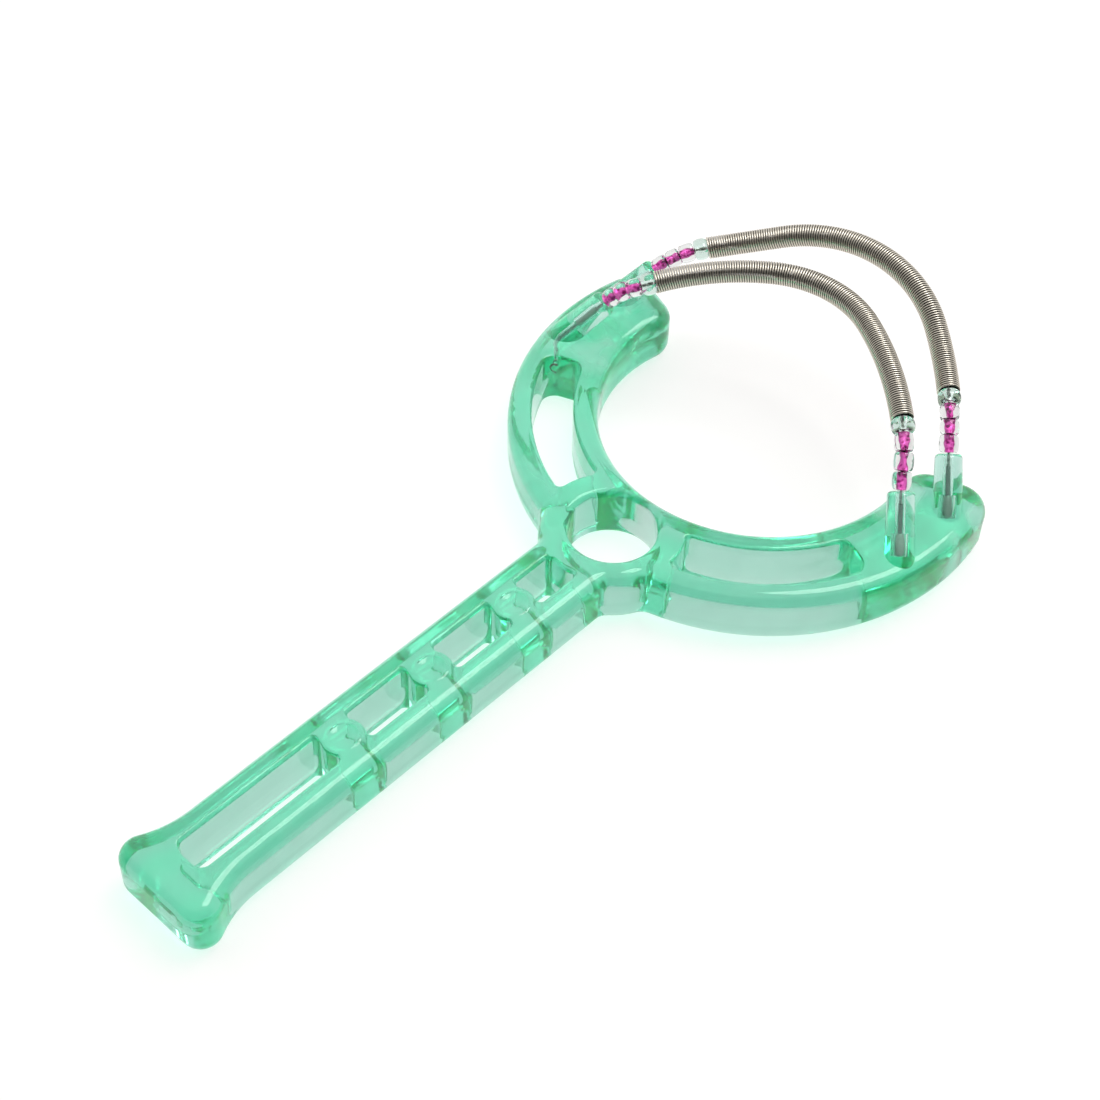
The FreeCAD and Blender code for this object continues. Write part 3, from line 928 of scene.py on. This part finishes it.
class SpringToolLook(PropertyGroup):
    plastic: PointerProperty(type=PlasticLook)
    coil: PointerProperty(type=CoilLook)
    core: PointerProperty(type=CoreLook)
    seats: PointerProperty(type=SeatLook)
    beads: PointerProperty(type=BeadLook)
    studio: PointerProperty(type=StudioLook)


# operators


def look_of(context):
    return context.scene.spring_tool


def view_axes():
    """The camera's right, up and back directions."""
    a, e, r = VIEW_AZIMUTH, VIEW_ELEVATION, VIEW_ROLL
    back = np.array((math.sin(a) * math.cos(e), -math.cos(a) * math.cos(e), math.sin(e)))
    right = np.array((math.cos(a), math.sin(a), 0))
    up = np.cross(back, right)
    return right * math.cos(r) + up * math.sin(r), up * math.cos(r) - right * math.sin(r), back


def aimed(right, up, back, place):
    """The matrix of a camera or lamp at a place, with its right, up and back directions."""
    m = np.eye(4)
    m[:3, 0], m[:3, 1], m[:3, 2], m[:3, 3] = right, up, back, place
    return Matrix(m.tolist())


def lamp(name, place, width, power):
    """A round lamp that faces the origin."""
    data = bpy.data.lights.new(name, "AREA")
    data.shape = "DISK"
    data.size = width
    data.energy = power
    holder = bpy.data.objects.new(name, data)
    bpy.context.scene.collection.objects.link(holder)
    back = unit(place)
    right = unit(np.cross((0.01, 0.02, 1), back))
    holder.matrix_world = aimed(right, np.cross(back, right), back, place)


class SPRING_TOOL_OT_stage(Operator):
    """Lays the floor, lights the studio and sets up the photograph's camera."""

    bl_idname = "spring_tool.stage"
    bl_label = "Stage"

    def execute(self, context):
        look = look_of(context).studio
        mesh = bpy.data.meshes.new("floor")
        level = cad_box[0][2] - FLOOR_GAP
        corners = [(x * FLOOR_HALF, y * FLOOR_HALF, level) for x, y in ((-1, -1), (1, -1), (1, 1), (-1, 1))]
        mesh.from_pydata(corners, [], [(0, 1, 2, 3)])
        mesh.materials.append(floor_paper(look))
        floor = bpy.data.objects.new("floor", mesh)
        context.scene.collection.objects.link(floor)
        flat = math.cos(OPEN_SIDE_ELEVATION)
        rise = math.sin(OPEN_SIDE_ELEVATION)
        open_side = (math.sin(VIEW_AZIMUTH) * flat, -math.cos(VIEW_AZIMUTH) * flat, rise)
        context.scene.world = studio_world(look, open_side)
        lamp("key_light", LAMP_PLACE, LAMP_WIDTH, look.key)
        right, up, back = view_axes()
        lens = bpy.data.cameras.new("photo_view")
        lens.sensor_width = SENSOR_WIDTH
        lens.lens = PHOTO_FOCAL_PIXELS / PHOTO_PIXELS * SENSOR_WIDTH
        lens.clip_start = 0.01
        camera = bpy.data.objects.new("photo_view", lens)
        context.scene.collection.objects.link(camera)
        camera.matrix_world = aimed(right, up, back, np.array(LOOK_AT) + back * VIEW_DISTANCE)
        context.scene.camera = camera
        context.scene.view_settings.view_transform = "Standard"
        # light thrown back inside the plastic counts as glossy, and too few bounces leave black streaks there
        context.scene.cycles.glossy_bounces = 12
        return {"FINISHED"}


class SPRING_TOOL_OT_frame(Operator):
    """Gives the moulded frame its clear green plastic."""

    bl_idname = "spring_tool.frame"
    bl_label = "Moulded frame"

    def execute(self, context):
        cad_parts["frame"].material_slots[0].material = clear_green_plastic(look_of(context).plastic)
        return {"FINISHED"}


class SPRING_TOOL_OT_coils(Operator):
    """Winds the two coil springs turn by turn."""

    bl_idname = "spring_tool.coils"
    bl_label = "Coil springs"

    def execute(self, context):
        look = look_of(context).coil
        steel = drawn_steel("spring_steel", look.steel, look.dull, look.roughness, grain=0.0006, groove=True)
        thickness = look.wire * TURN_WIDTH
        winding = COIL_OUTER - look.wire / 2

        def closed_turns(s, bends):
            """The phase where turns touch on the inside of the bend: one turn for each wire's width of inside."""
            return 2 * math.pi * (s - winding * bends) / (look.wire * TURN_PITCH)

        for name in SPANS:
            route = coil_run(name)
            turns = route_length(route) / look.wire
            steps = int(turns * look.steps)
            grid, outside = wound_wire(route, winding, thickness / 2, closed_turns, steps, look.sides)
            rows = np.arange(len(grid))[:, None]
            # the last turns at each end get none of the painted groove shade
            outside = np.where(np.minimum(rows, rows[::-1]) < look.steps * UNSHADED_END_TURNS, 1.0, outside)
            piece = grid_piece(f"coil_{name}", grid, False, [steel], attributes={"outside": outside})
            fit_out(piece, f"spring_{name}")
        return {"FINISHED"}


def loose_curl(left):
    """How far the near wire's free tail stands off its line, and at which angle, for each distance left to its end.

    Over the curl's length the distance grows with the square root of the way along it, and the angle with the way.
    """
    share = np.clip(1 - left / CURL_LENGTH, 0, 1)
    return CURL_RADIUS * share ** 0.5, 2 * math.pi * CURL_TURNS * share


class SPRING_TOOL_OT_wires(Operator):
    """Lays the two strands of each core wire round each other."""

    bl_idname = "spring_tool.wires"
    bl_label = "Core wires"

    def execute(self, context):
        look = look_of(context).core
        steel = drawn_steel("core_steel", look.steel, [c * 0.5 for c in look.steel], 0.38, grain=0.00015)
        strand = WIRE_RADIUS / 2
        for name in SPANS:
            route = wire_run(name)
            steps = int(route_length(route) / look.lay * STRAND_STEPS)
            stray = loose_curl if name == "near" else None
            for count, start in enumerate((0.0, math.pi), 1):
                laid = lambda s, bends, start=start: start + 2 * math.pi * s / look.lay
                grid, _ = wound_wire(route, strand, strand, laid, steps, STRAND_SIDES, stray)
                piece = grid_piece(f"core_{name}_strand_{count}", grid, False, [steel])
                fit_out(piece, f"wire_{name}")
        return {"FINISHED"}


class SPRING_TOOL_OT_sleeves(Operator):
    """Makes the four steel sleeves in the turrets, slim and dark on the right."""

    bl_idname = "spring_tool.sleeves"
    bl_label = "Sleeves"

    def execute(self, context):
        look = look_of(context).seats
        steels = {
            RIGHT: drawn_steel("dark_sleeve_steel", look.right, look.right_dull, 0.35, grain=0.0003),
            LEFT: drawn_steel("sleeve_steel", look.left, look.left_dull, 0.32, grain=0.0003),
        }
        for name, side, hand in wire_ends():
            middle = down_turret(name, side, FERRULE_TOP + FERRULE_LENGTH / 2)
            grid = placed(sleeve_grid(SLEEVE_RADIUS[side]), *middle)
            node = f"ferrule_{name}_{hand}"
            fit_out(grid_piece(f"drawn_{node}", grid, True, [steels[side]]), node)
        return {"FINISHED"}


class SPRING_TOOL_OT_stops(Operator):
    """Crimps the stops that hold the wires' feet. The near left wire has none, and runs on as its tail."""

    bl_idname = "spring_tool.stops"
    bl_label = "Crimped stops"

    def execute(self, context):
        look = look_of(context).seats
        steel = drawn_steel("stop_steel", look.stop, look.stop_dull, 0.36, grain=0.0005)
        for name, side, hand in wire_ends():
            node = f"stop_{name}_{hand}"
            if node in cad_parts:
                middle = down_turret(name, side, FERRULE_TOP + FERRULE_LENGTH + SEAT_GAP + STOP_LENGTH / 2)
                piece = grid_piece(f"crimped_{node}", placed(stop_grid(), *middle), True, [steel])
                fit_out(piece, node)
        return {"FINISHED"}


class SPRING_TOOL_OT_seed_beads(Operator):
    """Threads the clear seed beads with their painted holes."""

    bl_idname = "spring_tool.seed_beads"
    bl_label = "Seed beads"

    def execute(self, context):
        look = look_of(context).beads
        glass = bead_glass(look, "seed_bead_glass", look.seed_skin, look.seed_tint, look.seed_density)
        lining = magenta_lining(look)
        for name, side, hand in wire_ends():
            run = bead_run(name, side)
            for count, length in enumerate(SEED_LENGTHS[name][side]):
                seed = len(name) * 100 + (side + 1) * 10 + count
                size = (SEED_HOLE, SEED_RADIUS, length + BEAD_SWELL)
                grid, painted = bead_grid(*size, look.fullness, look.wobble, look.pinch, seed)
                point, heading, _, _ = along(run, [seed_low(name, side, count) + length / 2])
                grid = placed(grid, point[0], heading[0])
                node = f"seed_bead_{name}_{hand}_{count + 1}"
                slots = painted.astype(np.int32)
                piece = grid_piece(f"lined_{node}", grid, True, [glass, lining], slots=slots)
                fit_out(piece, node)
        return {"FINISHED"}


class SPRING_TOOL_OT_end_beads(Operator):
    """Sets the clear round beads at the coils' ends, just into the coils."""

    bl_idname = "spring_tool.end_beads"
    bl_label = "End beads"

    def execute(self, context):
        look = look_of(context).beads
        glass = bead_glass(look, "end_bead_glass", look.end_skin, look.end_tint, look.end_density)
        reach = END_BEAD_LENGTH + BEAD_NEST
        for name, side, hand in wire_ends():
            low = seed_low(name, side, len(SEED_LENGTHS[name][side]))
            point, heading, _, _ = along(bead_run(name, side), [low + reach / 2])
            seed = len(name) * 7 + side
            size = (END_BEAD_HOLE, END_BEAD_RADIUS, reach + BEAD_SWELL)
            grid, _ = bead_grid(*size, look.end_fullness, look.wobble, 0.0, seed)
            node = f"end_bead_{name}_{hand}"
            piece = grid_piece(f"round_{node}", placed(grid, point[0], heading[0]), True, [glass])
            fit_out(piece, node)
        return {"FINISHED"}


STEPS = (
    SPRING_TOOL_OT_stage,
    SPRING_TOOL_OT_frame,
    SPRING_TOOL_OT_coils,
    SPRING_TOOL_OT_wires,
    SPRING_TOOL_OT_sleeves,
    SPRING_TOOL_OT_stops,
    SPRING_TOOL_OT_seed_beads,
    SPRING_TOOL_OT_end_beads,
)


class SPRING_TOOL_PT_steps(Panel):
    """The steps in the order in which they are run."""

    bl_label = "Spring Tool"
    bl_idname = "SPRING_TOOL_PT_steps"
    bl_space_type = "VIEW_3D"
    bl_region_type = "UI"
    bl_category = "Spring Tool"

    def draw(self, context):
        for step in STEPS:
            self.layout.operator(step.bl_idname)


LOOKS = (PlasticLook, CoilLook, CoreLook, SeatLook, BeadLook, StudioLook, SpringToolLook)
CLASSES = (*LOOKS, *STEPS, SPRING_TOOL_PT_steps)


def register():
    for each in CLASSES:
        bpy.utils.register_class(each)
    bpy.types.Scene.spring_tool = PointerProperty(type=SpringToolLook)


def unregister():
    del bpy.types.Scene.spring_tool
    for each in reversed(CLASSES):
        bpy.utils.unregister_class(each)


def main():
    register()
    for step in STEPS:
        group, action = step.bl_idname.split(".")
        getattr(getattr(bpy.ops, group), action)()


if __name__ == "__main__":
    main()
